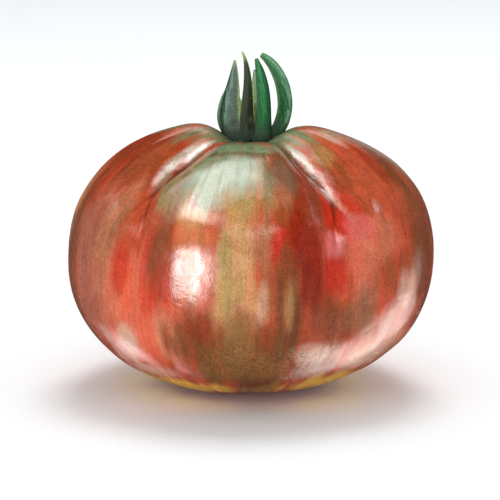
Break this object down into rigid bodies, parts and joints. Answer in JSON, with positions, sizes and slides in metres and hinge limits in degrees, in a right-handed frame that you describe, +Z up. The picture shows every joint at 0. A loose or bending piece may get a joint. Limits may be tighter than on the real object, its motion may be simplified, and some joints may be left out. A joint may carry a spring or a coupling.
{
  "type": "tomato",
  "caption": "Ripe ribbed tomato, broad and flattened, with its green calyx of upright sepals, resting on its flat blossom end.",
  "frame": {"origin": "centre of the fruit's footprint box, on the surface that it rests on", "axes": "+Z up along the fruit's stalk, -Y towards the lobe that faces the viewer, +X across the widest part"},
  "size_m": [0.091, 0.0852, 0.0849],
  "materials": {
    "skin": "glossy waxy skin, brick red streaked with olive and brown, green at the shoulders",
    "calyx": "matt dark grey-green, finely hairy",
    "sepal": "matt green leaf, dark outside with pale edges",
    "stalk": "matt green stalk with a dry brown scar on its end"
  },
  "bodies": {
    "root": {"fruit": "skin", "calyx_cup": "calyx", "stalk_stub": "stalk", "sepal_front_left": "sepal", "sepal_front": "sepal", "sepal_front_right": "sepal", "sepal_right": "sepal", "sepal_back_right": "sepal", "sepal_back_left": "sepal", "sepal_left": "sepal"}
  },
  "joints": []
}
